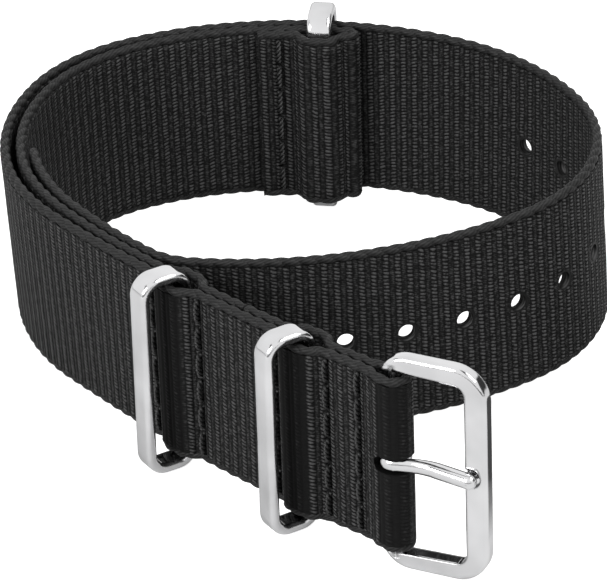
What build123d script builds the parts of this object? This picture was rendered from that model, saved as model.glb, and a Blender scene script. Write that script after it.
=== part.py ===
from build123d import *
from itertools import accumulate, pairwise
from math import atan, degrees, radians, sin, tan
import os

os.makedirs("parts", exist_ok=True)

# Webbing, in millimetres
strap_width = 22.0
webbing_thickness = 1.2
sewn_gap = 0.1
tip_corner_radius = 2.5
cut_end_gap = 0.3

# The long strap's middle line, seen from above. It starts beside the buckle pin, runs clockwise
# round the wrist and ends at the tip, inside the left bend. Each stretch is one arc: its length
# in millimetres and its turn in degrees.
route_start = (9.8, -57.4)
route_heading = 140.5
route = [
    (54.0, -13.5),
    (33.0, -63.5),
    (15.0, -40.0),
    (19.6, -27.2),
    (19.4, -24.8),
    (23.0, -40.0),
    (29.0, -76.0),
    (39.5, -47.0),
    (5.5, -37.0),
    (14.0, -9.0),
    (15.5, -29.0),
]

# Stations: distances along that line
pin_station = 1.2
buckle_seam_station = 5.5
keeper_2_station = 13.7
fold_back_end = 23.2
keeper_1_station = 33.0
end_ring_station = 125.3
first_hole_station = 152.75

# Adjustment holes
hole_count = 10
hole_pitch = 7.0
hole_diameter = 2.0

# Rings: a flat band bent to an oblong
keeper_edge_gap = 0.35
end_ring_edge_gap = 0.9
band_width = 2.9
band_thickness = 1.2
band_edge_radius = 0.5
bar_spacing = 5.4
ring_corner_radius = 2.5
keeper_1_lean = 11.0
keeper_2_lean = 15.0

# Pockets sewn round the rings' inner bars
keeper_pocket_length = 7.4
keeper_pocket_height = 2.6
keeper_pocket_flat = 1.6
end_pocket_length = 7.2
end_pocket_height = 2.1
end_pocket_flat = 1.8
end_seam_margin = 1.6
end_fold_tail = 2.6

# How far the short strap stands off the long one, and where that changes
bend_gap = 0.65
ring_gap = 0.3
parting_station = 42.0
parting_length = 20.0
joining_station = 92.0
joining_length = 18.0

# Buckle frame: a flat plate with two arms that hold the pin
frame_direction = -25.5
frame_arm_width = 1.9
frame_thickness = 1.7
frame_reach = 11.05
frame_bar_width = 2.55
frame_lug_reach = 1.7
arm_gap = 0.5
arm_taper = 0.25
frame_bar_radius = 4.1
frame_lug_radius = 3.4
frame_opening_radius = 1.4
frame_face_radius = 0.5
frame_back_radius = 0.25
tongue_notch_depth = 0.6
tongue_notch_reach = 10.2

# Pin
pin_diameter = 1.5
pin_seat_depth = 0.6
pin_seat_clearance = 0.02
pin_pocket_clearance = 0.1
pin_taper_length = 4.0

# Tongue: a round rod, hammered oval where it curls about the pin. It dips into the frame's
# opening and rises again to the notch in the front bar.
tongue_diameter = 1.8
tongue_eye_width = 1.6
tongue_eye_thickness = 1.1
tongue_bore_clearance = 0.05
tongue_curl = 250.0
tongue_leave = 24.0
tongue_dip_length = 4.75
tongue_slope = 10.0
tongue_run_length = 4.0
tongue_side_clearance = 0.2
tongue_slot_height = 2.6
tongue_slot_reach = 2.8

# Seams
stitch_pitch = 3.4
stitch_count = 6
thread_diameter = 0.44
thread_waist = 0.36
leg_diameter = 0.26
needle_hole_diameter = 0.6
stitch_sink = 0.05
thread_clearance = 0.03
needle_overrun = 0.15

# Derived sizes and places
half_web = webbing_thickness / 2
seam_depth = -(half_web + sewn_gap / 2)
under_layer = 2 * seam_depth
pin_end_height = strap_width + 2 * arm_gap
frame_height = pin_end_height + 2 * frame_arm_width
mid_height = frame_height / 2
strap_bottom = mid_height - strap_width / 2
keeper_bulge = (keeper_pocket_height - sewn_gap) / 2
bend_layer = -(webbing_thickness + bend_gap)
loop_layer = -(webbing_thickness + ring_gap)
loop_under_layer = loop_layer + under_layer
loop_bar_depth = loop_layer - half_web - end_pocket_height / 2
end_fold_station = end_ring_station + end_pocket_length / 2
end_seam_station = end_ring_station - end_pocket_length / 2 - end_seam_margin
keeper_near = keeper_pocket_length / 2
keeper_height = strap_width + 2 * (keeper_edge_gap + band_thickness)
end_ring_height = strap_width + 2 * (end_ring_edge_gap + band_thickness)
pin_fold_radius = pin_diameter / 2 + pin_pocket_clearance + half_web
pin_rise = pin_fold_radius + seam_depth
tongue_curl_radius = (pin_diameter + tongue_eye_thickness) / 2 + tongue_bore_clearance
cut_through = 2 * webbing_thickness


def advance(point, heading, length, turn):
    """Where an arc of this length and turn ends, and its heading there."""
    if abs(turn) < 0.001:
        return point + Vector(length, 0).rotate(Axis.Z, heading), heading
    side = Vector(0, length / radians(turn)).rotate(Axis.Z, heading)
    return point + side - side.rotate(Axis.Z, turn), heading + turn


def place(station, offset=0.0):
    """The point at a station, moved outward by the offset, and the route's heading there."""
    point, heading = Vector(*route_start), route_heading
    for length, turn in route:
        step = min(length, station)
        point, heading = advance(point, heading, step, turn * step / length)
        station -= step
        if station <= 0:
            break
    return point + Vector(0, offset).rotate(Axis.Z, heading), heading


def shifted(start, length, shift):
    """Two equal bends that move a layer outward by the shift over this length."""
    bend = degrees(2 * atan(shift / length))
    middle = start + length / 2
    return [(start, middle, bend), (middle, start + length, -bend)]


def pocket(station, length, height, flat):
    """Bends that carry a layer outward over a bar, straight across it and back."""
    slope = (length - flat) / 2
    rise = shifted(station - length / 2, slope, height)
    return rise + shifted(station + flat / 2, slope, -height)


def layer(first, last, offset=0.0, bends=()):
    """The arcs of a layer that keeps beside the route, as (length, turn) pairs."""
    cuts = set(accumulate(length for length, turn in route))
    cuts |= {end for low, high, turn in bends for end in (low, high)}
    cuts = sorted({cut for cut in cuts if first < cut < last} | {first, last})
    pieces = []
    lean = 0.0
    for low, high in pairwise(cuts):
        bend = [bend for bend in bends if bend[0] <= low and high <= bend[1]]
        extra = sum(turn * (high - low) / (end - start) for start, end, turn in bend)
        start, heading = place(low, offset)
        forward = (place(high, offset)[0] - start).length
        offset += forward * tan(radians(lean + extra / 2))
        lean += extra
        end, next_heading = place(high, offset)
        turn = next_heading - heading + extra
        half = radians(turn) / 2
        chord = (end - start).length
        pieces.append((chord * half / sin(half) if half else chord, turn))
    return pieces


def backwards(pieces):
    return [(length, -turn) for length, turn in reversed(pieces)]


def trace(point, heading, pieces, shift):
    """Draw one face of a layer, the shift to the left of its middle line. Returns its ends."""
    start = point + Vector(0, shift).rotate(Axis.Z, heading)
    point = start
    for length, turn in pieces:
        length -= shift * radians(turn)
        ahead = Vector(1, 0).rotate(Axis.Z, heading)
        if abs(turn) < 0.001:
            Line(point, point + ahead * length)
        else:
            JernArc(start=point, tangent=ahead, radius=length / radians(abs(turn)), arc_size=turn)
        point, heading = advance(point, heading, length, turn)
    return start, point


def outline(point, heading, pieces, thickness):
    """Draw the closed outline of a strip that follows the arcs."""
    left_start, left_end = trace(point, heading, pieces, thickness / 2)
    right_start, right_end = trace(point, heading, pieces, -thickness / 2)
    Line(left_start, right_start)
    Line(left_end, right_end)


def across_plane(station, offset, height):
    """A plane on the webbing: Z points outward, X along the strap's width."""
    point, heading = place(station, offset)
    outward = Vector(0, 1).rotate(Axis.Z, heading)
    return Plane(origin=(point.X, point.Y, height), x_dir=(0, 0, 1), z_dir=outward)


def needle_heights():
    first = mid_height - stitch_pitch * stitch_count / 2
    return [first + stitch_pitch * count for count in range(stitch_count + 1)]


def needle_planes(station, offset):
    return [across_plane(station, offset, height) for height in needle_heights()]


def upright_axis(station, offset):
    point, heading = place(station, offset)
    return Location((point.X, point.Y, mid_height))


# Each seam: its station, the outer face that it starts on, and the depth where its threads lock
top_face = half_web
bottom_face = under_layer - half_web
loop_top_face = loop_layer + half_web
loop_bottom_face = loop_under_layer - half_web
seams = {
    "buckle_seam": (buckle_seam_station, top_face, bottom_face),
    "keeper_2_front_seam": (keeper_2_station - keeper_near, top_face, bottom_face),
    "keeper_2_rear_seam": (keeper_2_station + keeper_near, top_face, bottom_face),
    "keeper_1_front_seam": (keeper_1_station - keeper_near, top_face, bottom_face),
    "keeper_1_rear_seam": (keeper_1_station + keeper_near, top_face, bottom_face),
    "end_ring_seam": (end_seam_station, loop_top_face, loop_bottom_face),
}


def cut_seam(station, outer_face, inner_face):
    """Needle holes through the sewn layers, and the groove that the stitches lie in."""
    depth = outer_face - inner_face + 2 * needle_overrun
    with Locations(*needle_planes(station, (outer_face + inner_face) / 2)):
        Cylinder(needle_hole_diameter / 2, depth, mode=Mode.SUBTRACT)
    groove_radius = thread_diameter / 2 + thread_clearance
    groove_length = stitch_pitch * stitch_count + thread_waist + 2 * thread_clearance
    outer_axis = upright_axis(station, outer_face - stitch_sink)
    inner_axis = upright_axis(station, inner_face + stitch_sink)
    with Locations(outer_axis, inner_axis):
        Cylinder(groove_radius, groove_length, mode=Mode.SUBTRACT)


def keeper_pocket(station, height):
    return pocket(station, keeper_pocket_length, height, keeper_pocket_flat)


# Long strap: from the end of the folded-back layer, round the pin, and on to the tip
pin_taper_in = shifted(pin_station, pin_taper_length, pin_rise)
pin_taper_out = shifted(pin_station, pin_taper_length, -pin_rise)
keeper_2_pocket_in = keeper_pocket(keeper_2_station, -keeper_bulge)
keeper_2_pocket_out = keeper_pocket(keeper_2_station, keeper_bulge)
keeper_1_pocket_in = keeper_pocket(keeper_1_station, -keeper_bulge)
keeper_1_pocket_out = keeper_pocket(keeper_1_station, keeper_bulge)
tip_station = sum(length for length, turn in route)
folded_back = layer(
    pin_station,
    fold_back_end,
    seam_depth - pin_fold_radius,
    pin_taper_in + keeper_2_pocket_in,
)
pin_fold = [(pin_fold_radius * radians(180), -180.0)]
outer_run = layer(
    pin_station,
    tip_station,
    pin_rise,
    pin_taper_out + keeper_2_pocket_out + keeper_1_pocket_out,
)
fold_start, fold_heading = place(fold_back_end, under_layer)
tip_point, tip_heading = place(tip_station)
tip_middle = Vector(tip_point.X, tip_point.Y, mid_height)
pin_point, pin_heading = place(pin_station, seam_depth)
pin_axis = Vector(pin_point.X, pin_point.Y, mid_height)
slot_plane = Plane(
    origin=pin_axis,
    x_dir=Vector(1, 0).rotate(Axis.Z, pin_heading),
    z_dir=Vector(0, 1).rotate(Axis.Z, pin_heading),
)
hole_stations = [first_hole_station + hole_pitch * count for count in range(hole_count)]

with BuildPart() as main_strap:
    with BuildSketch(Plane.XY.offset(strap_bottom)):
        with BuildLine():
            chain = backwards(folded_back) + pin_fold + outer_run
            outline(fold_start, fold_heading + 180, chain, webbing_thickness)
        make_face()
    extrude(amount=strap_width)
    tip_edges = main_strap.edges().filter_by(Axis.Z, reverse=True).filter_by(GeomType.LINE)
    fillet(tip_edges.sort_by_distance(tip_middle)[:2], tip_corner_radius)
    with Locations(*[across_plane(station, 0, mid_height) for station in hole_stations]):
        Cylinder(hole_diameter / 2, cut_through, mode=Mode.SUBTRACT)
    with BuildSketch(slot_plane):
        slot_length = tongue_slot_reach + 2 * pin_fold_radius
        with Locations((tongue_slot_reach - slot_length / 2, 0)):
            SlotOverall(slot_length, tongue_slot_height)
    extrude(amount=2 * cut_through, both=True, mode=Mode.SUBTRACT)
    for seam, (station, outer_face, inner_face) in seams.items():
        if seam != "end_ring_seam":
            cut_seam(station, outer_face, inner_face)
main_strap.part.label = "main_strap"

# Short strap: from the cut end inside, past keeper 1, along the bend and into the end loop
short_start_station = fold_back_end + cut_end_gap
free_station = parting_station + parting_length
loop_station = joining_station + joining_length
short_run = (
    layer(short_start_station, parting_station, under_layer, keeper_1_pocket_in)
    + layer(
        parting_station,
        free_station,
        under_layer,
        shifted(parting_station, parting_length, bend_layer - under_layer),
    )
    + layer(free_station, joining_station, bend_layer)
    + layer(
        joining_station,
        loop_station,
        bend_layer,
        shifted(joining_station, joining_length, loop_layer - bend_layer),
    )
    + layer(loop_station, end_fold_station, loop_layer)
)
end_fold = [(-seam_depth * radians(180), -180.0)]
loop_under_run = layer(
    end_seam_station - end_fold_tail,
    end_fold_station,
    loop_under_layer,
    pocket(
        end_ring_station,
        end_pocket_length,
        sewn_gap - end_pocket_height,
        end_pocket_flat,
    ),
)
short_start, short_heading = place(short_start_station, under_layer)

with BuildPart() as short_strap:
    with BuildSketch(Plane.XY.offset(strap_bottom)):
        with BuildLine():
            chain = short_run + end_fold + backwards(loop_under_run)
            outline(short_start, short_heading, chain, webbing_thickness)
        make_face()
    extrude(amount=strap_width)
    for seam, (station, outer_face, inner_face) in seams.items():
        if not seam.startswith(("buckle", "keeper_2")):
            cut_seam(station, outer_face, inner_face)
short_strap.part.label = "short_strap"


def ring_plane(bar_axis, azimuth):
    """The plane of a ring, centred on it: X runs from its inner bar to its outer bar."""
    outward = Vector(1, 0).rotate(Axis.Z, azimuth)
    middle = bar_axis + outward * (bar_spacing / 2)
    return Plane(origin=middle, x_dir=outward, z_dir=outward.rotate(Axis.Z, 90))


def make_ring(plane, height, label):
    with BuildPart() as ring:
        with BuildSketch(plane):
            RectangleRounded(bar_spacing + band_thickness, height, ring_corner_radius)
            RectangleRounded(
                bar_spacing - band_thickness,
                height - 2 * band_thickness,
                ring_corner_radius - band_thickness,
                mode=Mode.SUBTRACT,
            )
        extrude(amount=band_width / 2, both=True)
        sides = ring.faces().filter_by(GeomType.PLANE).sort_by(Axis(plane.origin, plane.z_dir))
        fillet(sides[0].edges() + sides[-1].edges(), band_edge_radius)
    ring.part.label = label
    return ring.part


def raised(point):
    return Vector(point.X, point.Y, mid_height)


keeper_1_point, keeper_1_heading = place(keeper_1_station, seam_depth)
keeper_2_point, keeper_2_heading = place(keeper_2_station, seam_depth)
end_ring_point, end_ring_heading = place(end_ring_station, loop_bar_depth)
keeper_1_axis = raised(keeper_1_point)
keeper_2_axis = raised(keeper_2_point)
end_ring_axis = raised(end_ring_point)
keeper_1_plane = ring_plane(keeper_1_axis, keeper_1_heading + 90 - keeper_1_lean)
keeper_2_plane = ring_plane(keeper_2_axis, keeper_2_heading + 90 - keeper_2_lean)
keeper_1 = make_ring(keeper_1_plane, keeper_height, "keeper_1")
keeper_2 = make_ring(keeper_2_plane, keeper_height, "keeper_2")
end_ring_plane = ring_plane(end_ring_axis, end_ring_heading + 90)
end_ring = make_ring(end_ring_plane, end_ring_height, "end_ring")

# Buckle frame, in its own plane: X from the pin to the front bar, Y up, Z out of its face
frame_ahead = Vector(1, 0).rotate(Axis.Z, frame_direction)
frame_outward = frame_ahead.rotate(Axis.Z, -90)
frame_plane = Plane(origin=pin_axis, x_dir=frame_ahead, z_dir=frame_outward)
reach_axis = Axis(pin_axis, frame_ahead)
face_axis = Axis(pin_axis, frame_outward)
bar_end_height = pin_end_height - 2 * arm_taper
opening_reach = frame_reach - frame_bar_width
pin_length = pin_end_height + 2 * pin_seat_depth

with BuildPart() as buckle_frame:
    with BuildSketch(frame_plane.offset(-frame_thickness / 2)):
        with Locations((-frame_lug_reach, 0)):
            Rectangle(
                frame_reach + frame_lug_reach,
                frame_height,
                align=(Align.MIN, Align.CENTER),
            )
    extrude(amount=frame_thickness)
    fillet(buckle_frame.edges().filter_by(face_axis).sort_by(reach_axis)[-2:], frame_bar_radius)
    fillet(buckle_frame.edges().filter_by(face_axis).sort_by(reach_axis)[:2], frame_lug_radius)
    fillet(buckle_frame.faces().sort_by(face_axis)[-1].edges(), frame_face_radius)
    fillet(buckle_frame.faces().sort_by(face_axis)[0].edges(), frame_back_radius)
    with BuildSketch(frame_plane):
        with BuildLine():
            Polyline(
                (-2 * frame_lug_reach, -pin_end_height / 2),
                (0, -pin_end_height / 2),
                (opening_reach, -bar_end_height / 2),
                (opening_reach, bar_end_height / 2),
                (0, pin_end_height / 2),
                (-2 * frame_lug_reach, pin_end_height / 2),
                close=True,
            )
        opening = make_face()
        fillet(opening.vertices().sort_by(Axis.X)[-2:], frame_opening_radius)
    extrude(amount=frame_thickness, both=True, mode=Mode.SUBTRACT)
    with Locations(Location(pin_axis)):
        Cylinder(
            pin_diameter / 2 + pin_seat_clearance,
            pin_length + 2 * pin_seat_clearance,
            mode=Mode.SUBTRACT,
        )
    with BuildSketch(frame_plane.offset(frame_thickness / 2 - tongue_notch_depth)):
        notch_length = 2 * (tongue_notch_reach - opening_reach)
        with Locations((opening_reach, 0)):
            SlotOverall(notch_length, tongue_diameter + 2 * tongue_side_clearance)
    extrude(amount=frame_thickness, mode=Mode.SUBTRACT)
buckle_frame.part.label = "buckle_frame"

with BuildPart() as buckle_pin:
    with Locations(Location(pin_axis)):
        Cylinder(pin_diameter / 2, pin_length)
buckle_pin.part.label = "buckle_pin"

# Tongue: drawn from the free end of its curl to its tip, in the level plane through its middle
leave_heading = frame_direction + tongue_leave
curl_heading = leave_heading - tongue_curl
curl_start = pin_axis + Vector(0, -tongue_curl_radius).rotate(Axis.Z, curl_heading)
curl_end = pin_axis + Vector(0, -tongue_curl_radius).rotate(Axis.Z, leave_heading)
rise_heading = frame_direction - tongue_slope


def section_plane(line, share):
    """The plane across a line, with X along the strap's width."""
    return Plane(origin=line @ share, x_dir=(0, 0, 1), z_dir=line % share)


with BuildPart() as buckle_tongue:
    with BuildLine() as curl_path:
        trace(curl_start, curl_heading, [(tongue_curl_radius * radians(tongue_curl), tongue_curl)], 0)
    with BuildSketch(section_plane(curl_path.line, 0)):
        Ellipse(tongue_eye_width / 2, tongue_eye_thickness / 2)
    sweep()
    with BuildLine() as dip_path:
        dip_turn = -tongue_leave - tongue_slope
        rise_start = trace(curl_end, leave_heading, [(tongue_dip_length, dip_turn)], 0)[1]
    with BuildSketch(section_plane(dip_path.line, 0)):
        Ellipse(tongue_eye_width / 2, tongue_eye_thickness / 2)
    with BuildSketch(section_plane(dip_path.line, 1)):
        Circle(tongue_diameter / 2)
    sweep(multisection=True)
    with BuildSketch(section_plane(dip_path.line, 1)):
        Circle(tongue_diameter / 2)
    extrude(amount=tongue_run_length)
    tongue_end = rise_start + Vector(tongue_run_length, 0).rotate(Axis.Z, rise_heading)
    with Locations(Location(tongue_end)):
        Sphere(tongue_diameter / 2)
buckle_tongue.part.label = "buckle_tongue"


def make_thread(station, face, side, lock_depth, label):
    """One thread of a seam: its stitches along the face, and its legs down to where it locks."""
    stitch_depth = face - side * stitch_sink
    leg_foot = lock_depth + side * thread_clearance
    point, heading = place(station, stitch_depth)
    ahead = Vector(1, 0).rotate(Axis.Z, heading)
    stitch_plane = Plane(origin=(point.X, point.Y, 0), x_dir=ahead.rotate(Axis.Z, 90), z_dir=ahead)
    heights = needle_heights()
    with BuildPart() as thread:
        with BuildSketch(stitch_plane):
            with BuildLine():
                Line((0, heights[0] - thread_waist / 2), (0, heights[-1] + thread_waist / 2))
                JernArc((thread_waist / 2, heights[0]), (0, -1), thread_waist / 2, -90)
                JernArc((thread_waist / 2, heights[-1]), (0, 1), thread_waist / 2, 90)
                for low, high in pairwise(heights):
                    ThreePointArc(
                        (thread_waist / 2, low),
                        (thread_diameter / 2, (low + high) / 2),
                        (thread_waist / 2, high),
                    )
            make_face()
        revolve(axis=Axis((point.X, point.Y, 0), (0, 0, 1)))
        with Locations(*needle_planes(station, (stitch_depth + leg_foot) / 2)):
            Cylinder(leg_diameter / 2, abs(stitch_depth - leg_foot))
    thread.part.label = label
    return thread.part


threads = []
for seam, (station, outer_face, inner_face) in seams.items():
    lock_depth = (outer_face + inner_face) / 2
    threads.append(make_thread(station, outer_face, 1, lock_depth, seam + "_top_thread"))
    threads.append(make_thread(station, inner_face, -1, lock_depth, seam + "_bobbin_thread"))

# The finished strap stands on its lowest point, with the middle of its plan at the origin
pieces = [
    main_strap.part,
    short_strap.part,
    buckle_frame.part,
    buckle_pin.part,
    buckle_tongue.part,
    keeper_1,
    keeper_2,
    end_ring,
    *threads,
]
boxes = [piece.bounding_box() for piece in pieces]
low = Vector(*[min(tuple(box.min)[side] for box in boxes) for side in range(3)])
high = Vector(*[max(tuple(box.max)[side] for box in boxes) for side in range(3)])
to_origin = Location((-(low.X + high.X) / 2, -(low.Y + high.Y) / 2, -low.Z))
for piece in pieces:
    export_step(piece.moved(to_origin), f"parts/{piece.label}.step")


def report(name, point):
    moved = to_origin * Location(point)
    print(f"{name}: {moved.position.X:.3f}, {moved.position.Y:.3f}, {moved.position.Z:.3f}")


print("moved by", to_origin.position)
print("size", high - low)
report("pin axis", pin_axis)
report("keeper 1 axis", keeper_1_axis)
report("keeper 2 axis", keeper_2_axis)
report("end ring axis", end_ring_axis)
for station in hole_stations:
    report("hole", raised(place(station)[0]))
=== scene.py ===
"""Dresses a woven watch strap, coiled on its edge, over its CAD frame."""

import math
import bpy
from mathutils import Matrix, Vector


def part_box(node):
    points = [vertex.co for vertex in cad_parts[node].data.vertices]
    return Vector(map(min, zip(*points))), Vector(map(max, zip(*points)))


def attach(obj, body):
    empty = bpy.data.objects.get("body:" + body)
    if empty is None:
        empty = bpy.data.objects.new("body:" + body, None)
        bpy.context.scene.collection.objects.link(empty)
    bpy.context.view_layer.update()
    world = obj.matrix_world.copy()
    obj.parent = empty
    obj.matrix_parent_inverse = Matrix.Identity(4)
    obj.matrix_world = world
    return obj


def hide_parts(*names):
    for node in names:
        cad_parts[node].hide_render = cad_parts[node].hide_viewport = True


bl_info = {
    "name": "Woven Watch Strap",
    "version": (1, 0, 0),
    "blender": (4, 5, 0),
    "location": "View3D > Sidebar > Watch Strap",
    "description": "Webbing, seams, polished rings and buckle of a pass-through watch strap",
    "category": "Object",
}

from itertools import accumulate, pairwise

import bpy
import bmesh
import numpy as np
from mathutils import Matrix, Vector

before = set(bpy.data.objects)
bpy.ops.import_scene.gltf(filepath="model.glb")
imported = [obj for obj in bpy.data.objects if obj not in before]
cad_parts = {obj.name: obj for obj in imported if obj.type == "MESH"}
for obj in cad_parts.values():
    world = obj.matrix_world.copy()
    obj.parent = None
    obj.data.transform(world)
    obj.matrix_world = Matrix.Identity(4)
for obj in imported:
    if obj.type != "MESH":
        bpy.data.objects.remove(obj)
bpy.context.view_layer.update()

MM = 0.001

# The strap's route, seen from above, in millimetres: one arc per stretch, as (length, turn in
# degrees). It starts beside the buckle pin, runs clockwise round the wrist and ends at the tip.
ROUTE_START = complex(9.8, -57.4)
ROUTE_HEADING = 140.5
ROUTE = (
    (54.0, -13.5),
    (33.0, -63.5),
    (15.0, -40.0),
    (19.6, -27.2),
    (19.4, -24.8),
    (23.0, -40.0),
    (29.0, -76.0),
    (39.5, -47.0),
    (5.5, -37.0),
    (14.0, -9.0),
    (15.5, -29.0),
)
TIP_STATION = sum(length for length, turn in ROUTE)

# Stations along it
PIN_STATION = 1.2
BUCKLE_SEAM_STATION = 5.5
KEEPER_2_STATION = 13.7
FOLD_BACK_END = 23.2
KEEPER_1_STATION = 33.0
END_RING_STATION = 125.3
FIRST_HOLE_STATION = 152.75
HOLE_COUNT = 10
HOLE_PITCH = 7.0

# Layers and pockets
HALF_WEB = 0.6
SEWN_GAP = 0.1
SEAM_DEPTH = -(HALF_WEB + SEWN_GAP / 2)
UNDER_LAYER = 2 * SEAM_DEPTH
PIN_FOLD_RADIUS = 1.45
PIN_RISE = PIN_FOLD_RADIUS + SEAM_DEPTH
PIN_TAPER = 4.0
KEEPER_POCKET_LENGTH = 7.4
KEEPER_POCKET_HEIGHT = 2.6
KEEPER_POCKET_FLAT = 1.6
KEEPER_BULGE = (KEEPER_POCKET_HEIGHT - SEWN_GAP) / 2
END_POCKET_LENGTH = 7.2
END_POCKET_HEIGHT = 2.1
END_POCKET_FLAT = 1.8
END_SEAM_MARGIN = 1.6
END_SEAM_STATION = END_RING_STATION - END_POCKET_LENGTH / 2 - END_SEAM_MARGIN
END_FOLD_STATION = END_RING_STATION + END_POCKET_LENGTH / 2
END_FOLD_TAIL = 2.6
CUT_END_GAP = 0.3
BEND_LAYER = -1.85
LOOP_LAYER = -1.5
PARTING_STATION = 42.0
PARTING_LENGTH = 20.0
JOINING_STATION = 92.0
JOINING_LENGTH = 18.0
TIP_CORNER_RADIUS = 2.5
HOLE_RADIUS = 1.0
HOLE_CUTTER_REACH = 1.5

# The tongue's slot: its height, its cutter's inner and outer side, as (distance outward from the
# pin, reach into the strap), and where the cutter starts, measured back from that reach
SLOT_HEIGHT = 1.9
SLOT_CUTTER_ENDS = ((-4.0, 3.5), (4.0, 1.0))
SLOT_START = -8.0

# Seams, and what they do to the webbing's faces: reaches and depths of the groove under the
# stitches, of the valley beside them and of the dimple at each needle hole
STITCH_PITCH = 3.4
STITCH_COUNT = 6
GROOVE_REACH, GROOVE_DEPTH = 0.34, 0.18
VALLEY_REACH, VALLEY_DEPTH = 1.3, 0.24
DIMPLE_REACH, DIMPLE_DEPTH = 0.35, 0.14
SEAM_HALF_LENGTH = 11.0
SEAM_FADE = 0.6

# Stitches: the height of their arch and how flat it is, how deep their ends sink, the share of
# the pitch left free at each end, and how far a ply's middle swings, in ply radii
STITCH_ARCH = 0.5
STITCH_FLATNESS = 0.4
STITCH_SINK = 0.44
STITCH_MARGIN = 0.06
PLY_SWING = 0.85

# Weave: where a column's rounded rib and its flatter band lie, as shares of the column's pitch
RIB_CENTRE = 0.29
RIB_HALF = 0.29
BAND_CENTRE = 0.79
BAND_HALF = 0.21
BAND_HEIGHT = 0.72
FINE_THREAD_PITCH = 0.23
MEAN_RELIEF = 0.45
CALM_END = 0.5

# Flattened zones, where stretched yarns lie flat and the colour is darkened as painted shade: their
# half lengths, and how far the fold's lies round towards its inner side
SMOOTH_SHADED_POCKET_HALF = 1.9
SMOOTH_SHADED_FOLD_HALF = 1.7
SMOOTH_SHADED_FOLD_SHIFT = 0.5

# Pressed ring round each adjustment hole
RIM_REACH = 1.75
RIM_FADE = 0.5
MELTED_RIM_RADIUS = 1.4

# Selvedge: the share of its size that one yarn takes, how it bulges, and how it ends at the tip
EDGE_OVERLAP = 0.8
EDGE_YARN_SHARE = 0.39
EDGE_BULGE = 1.15
EDGE_FULLNESS = 1.08
EDGE_END_GAP = 0.5

# How far the webbing's upper edge leans outward over its lower one, by station
LEAN = (
    (26.0, 0.0),
    (50.0, 1.0),
    (66.0, 1.3),
    (85.0, 0.8),
    (112.0, 0.7),
    (118.0, 0.5),
    (131.0, 0.5),
    (150.0, 0.6),
    (165.0, 0.0),
    (178.0, -0.8),
    (212.0, -0.8),
    (232.0, 0.3),
    (245.0, 1.0),
    (267.5, 1.3),
)
STRAP_WIDTH = 22.0

# Camera, from the photograph's perspective
CAMERA_LENS = 359.5
CAMERA_SENSOR = 36.0
CAMERA_ELEVATION = 30.0
CAMERA_ROLL = -1.9
CAMERA_OFFSET = (-0.126, 0.058, 710.27)


def unit(heading):
    """The direction of a heading, as a complex number."""
    return complex(math.cos(math.radians(heading)), math.sin(math.radians(heading)))


def advance(point, heading, length, turn):
    """Where an arc of this length and turn ends, and its heading there."""
    if abs(turn) < 0.001:
        return point + length * unit(heading), heading
    side = 1j * unit(heading) * length / math.radians(turn)
    return point + side - side * unit(turn), heading + turn


def place(station, offset=0.0):
    """The point at a station, moved outward by the offset, and the route's heading there."""
    point, heading = ROUTE_START, ROUTE_HEADING
    for length, turn in ROUTE:
        step = min(length, station)
        point, heading = advance(point, heading, step, turn * step / length)
        station -= step
        if station <= 0:
            break
    return point + offset * 1j * unit(heading), heading


def shifted(start, length, shift):
    """Two equal bends that move a layer outward by the shift over this length."""
    bend = math.degrees(2 * math.atan(shift / length))
    middle = start + length / 2
    return [(start, middle, bend), (middle, start + length, -bend)]


def pocket(station, length, height, flat):
    """Bends that carry a layer outward over a bar, straight across it and back."""
    slope = (length - flat) / 2
    rise = shifted(station - length / 2, slope, height)
    return rise + shifted(station + flat / 2, slope, -height)


def keeper_pocket(station, height):
    return pocket(station, KEEPER_POCKET_LENGTH, height, KEEPER_POCKET_FLAT)


def layer(first, last, offset=0.0, bends=()):
    """The arcs of a layer that keeps beside the route, as (length, turn) pairs."""
    cuts = set(accumulate(length for length, turn in ROUTE))
    cuts |= {end for low, high, turn in bends for end in (low, high)}
    cuts = sorted({cut for cut in cuts if first < cut < last} | {first, last})
    arcs = []
    lean = 0.0
    for low, high in pairwise(cuts):
        bend = [bend for bend in bends if bend[0] <= low and high <= bend[1]]
        extra = sum(turn * (high - low) / (end - start) for start, end, turn in bend)
        start, heading = place(low, offset)
        forward = abs(place(high, offset)[0] - start)
        offset += forward * math.tan(math.radians(lean + extra / 2))
        lean += extra
        end, next_heading = place(high, offset)
        turn = next_heading - heading + extra
        half = math.radians(turn) / 2
        chord = abs(end - start)
        arcs.append((chord * half / math.sin(half) if half else chord, turn))
    return arcs


def backwards(arcs):
    return [(length, -turn) for length, turn in reversed(arcs)]


def lean_vector(point, station):
    """The plan shift outward of the upper edge over the lower one, as a share of the width."""
    amount = np.interp(station, *zip(*LEAN)) / STRAP_WIDTH
    outward = point - WRIST_MIDDLE
    return amount * outward / abs(outward)


class Path:
    """Even samples along a strip's middle line, in millimetres and in the part's own frame."""

    def __init__(self, point, heading, arcs, step, first_station):
        self.length = sum(length for length, turn in arcs)
        count = round(self.length / step)
        self.distance = np.linspace(0, self.length, count + 1)
        points, headings = [], []
        walked = 0.0
        waiting = list(self.distance)
        for index, (length, turn) in enumerate(arcs):
            last = index == len(arcs) - 1
            while waiting and (last or waiting[0] <= walked + length):
                part = waiting.pop(0) - walked
                spot, facing = advance(point, heading, part, turn * part / length)
                points.append(spot)
                headings.append(facing)
            point, heading = advance(point, heading, length, turn)
            walked += length
        self.point = np.array(points) + PLAN_SHIFT
        self.normal = 1j * np.exp(1j * np.radians(headings))
        self.lean = lean_vector(self.point, self.distance + first_station)

    def nearest(self, station, offset):
        """The distance along the path of the sample nearest to a point beside the route."""
        target = place(station, offset)[0] + PLAN_SHIFT
        return self.distance[np.argmin(abs(self.point - target))]


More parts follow.
